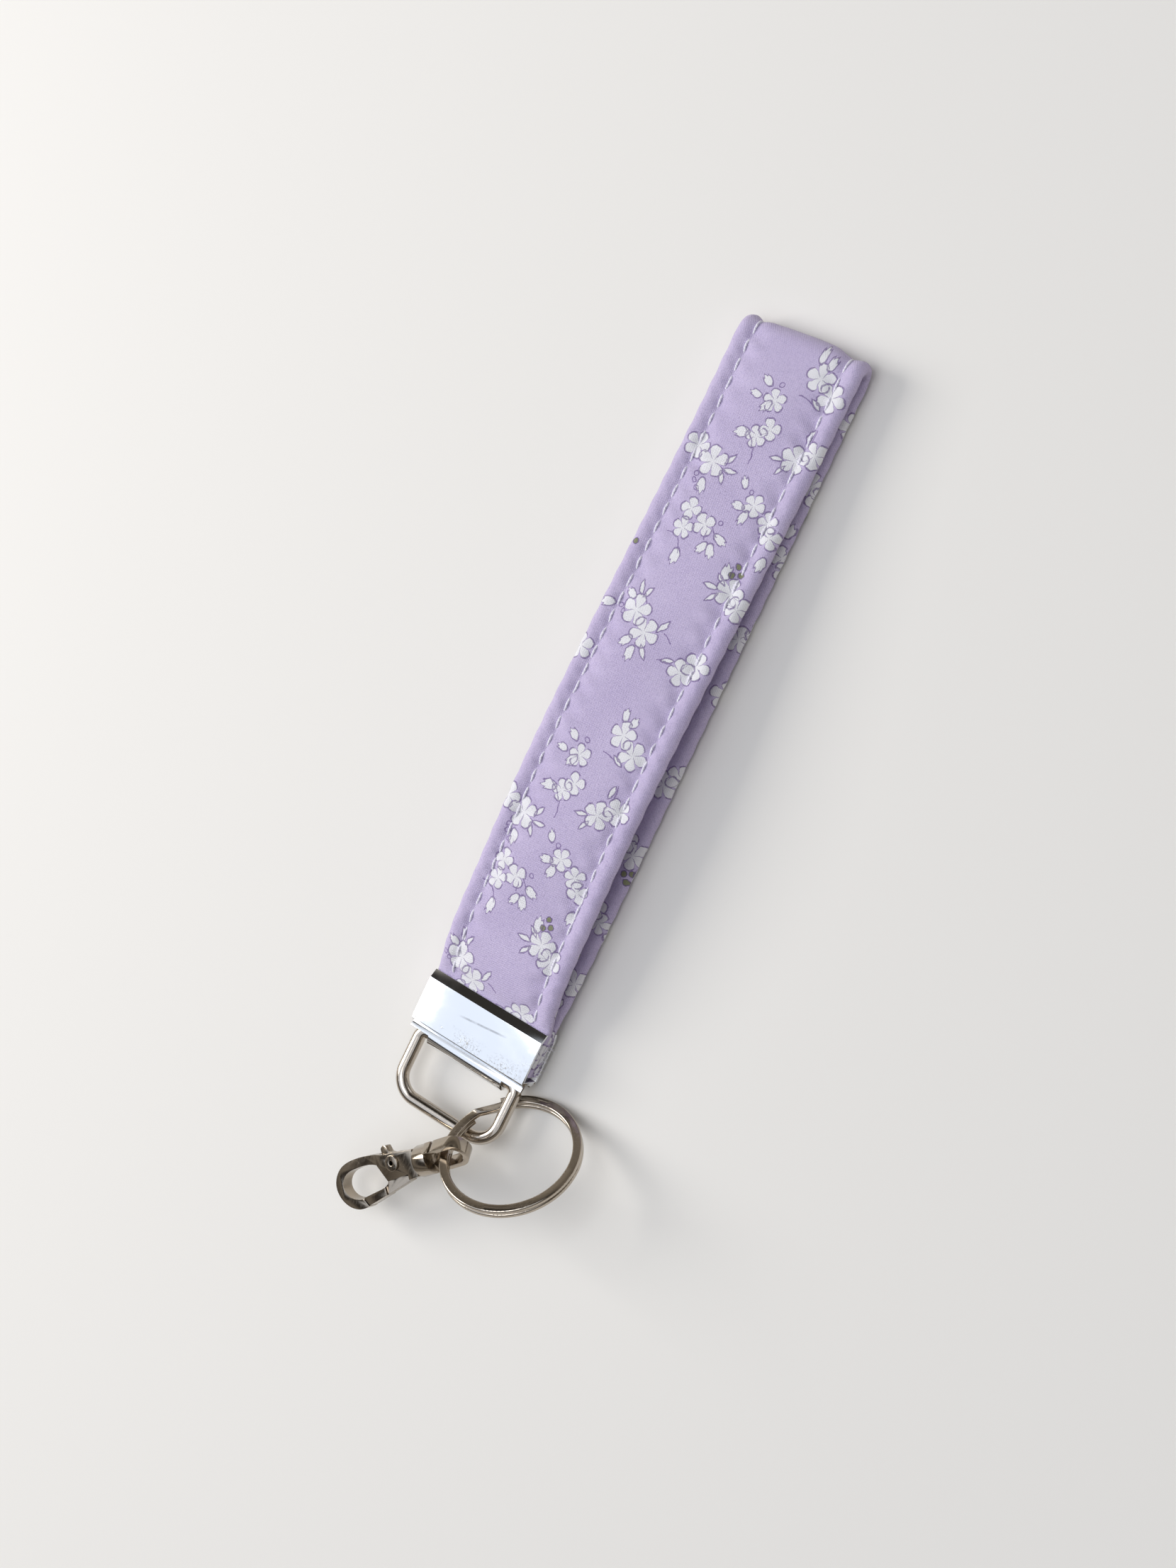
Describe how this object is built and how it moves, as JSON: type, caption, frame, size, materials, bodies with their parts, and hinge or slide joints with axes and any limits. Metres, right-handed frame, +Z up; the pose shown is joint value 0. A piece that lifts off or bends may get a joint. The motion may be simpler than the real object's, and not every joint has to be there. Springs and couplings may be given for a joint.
{
  "type": "wristlet keychain",
  "caption": "Padded printed-cotton wrist loop crimped in a metal clamp, with a hinged wire loop, a split ring and a swivel hook with a sprung gate.",
  "frame": {"origin": "middle of the flat belly of the strap's back half, where it rests on the table", "axes": "+X across the strap, +Y along the strap from the clamp to the fold, +Z up from the table"},
  "size_m": [0.0433, 0.1775, 0.0192],
  "materials": {
    "printed_cotton": "quilted lilac cotton with a small floral print, matt",
    "wadding": "soft white polyester wadding",
    "thread": "pale polyester sewing thread",
    "nickel_plate": "polished nickel-plated sheet steel with light smudges",
    "nickel_wire": "polished nickel-plated steel wire",
    "nickel_ring": "polished nickel-plated spring steel",
    "nickel_cast": "nickel-plated die-cast zinc, tumbled edges",
    "spring_steel": "plain spring steel"
  },
  "bodies": {
    "strap_and_clamp": {"strap_cover": "printed_cotton", "strap_padding": "wadding", "topstitch_left": "thread", "topstitch_right": "thread", "clamp": "nickel_plate"},
    "loop": {"wire_loop": "nickel_wire"},
    "ring": {"split_ring": "nickel_ring"},
    "eye": {"swivel_eye": "nickel_cast"},
    "hook": {"hook_body": "nickel_cast", "rivet": "nickel_cast", "gate_spring": "spring_steel"},
    "gate": {"gate_lever": "nickel_cast"}
  },
  "joints": [
    {"name": "loop_hinge", "type": "hinge", "parent": "strap_and_clamp", "child": "loop", "pos_m": [0, -0.0766, 0.0044], "axis": [1, 0, 0], "range_deg": [-4, 45]},
    {"name": "ring_swing", "type": "hinge", "parent": "loop", "child": "ring", "pos_m": [0, -0.0888, 0.00472], "axis": [1, 0, 0], "range_deg": [-60, 0]},
    {"name": "eye_travel", "type": "hinge", "parent": "ring", "child": "eye", "pos_m": [0.0176, -0.0862, 0.00961], "axis": [-0.2032, 0.6645, 0.7191], "range_deg": [-8, 100]},
    {"name": "hook_swivel", "type": "hinge", "parent": "eye", "child": "hook", "pos_m": [0.0039, -0.09478, 0.01074], "axis": [-0.6997, -0.6797, -0.2199], "continuous": true},
    {"name": "gate_pivot", "type": "hinge", "parent": "hook", "child": "gate", "pos_m": [-0.00191, -0.09875, 0.00922], "axis": [0.1351, 0.1764, -0.975], "range_deg": [0, 26], "stiffness_Nm_per_rad": 0.003, "springref_deg": -11.46}
  ]
}
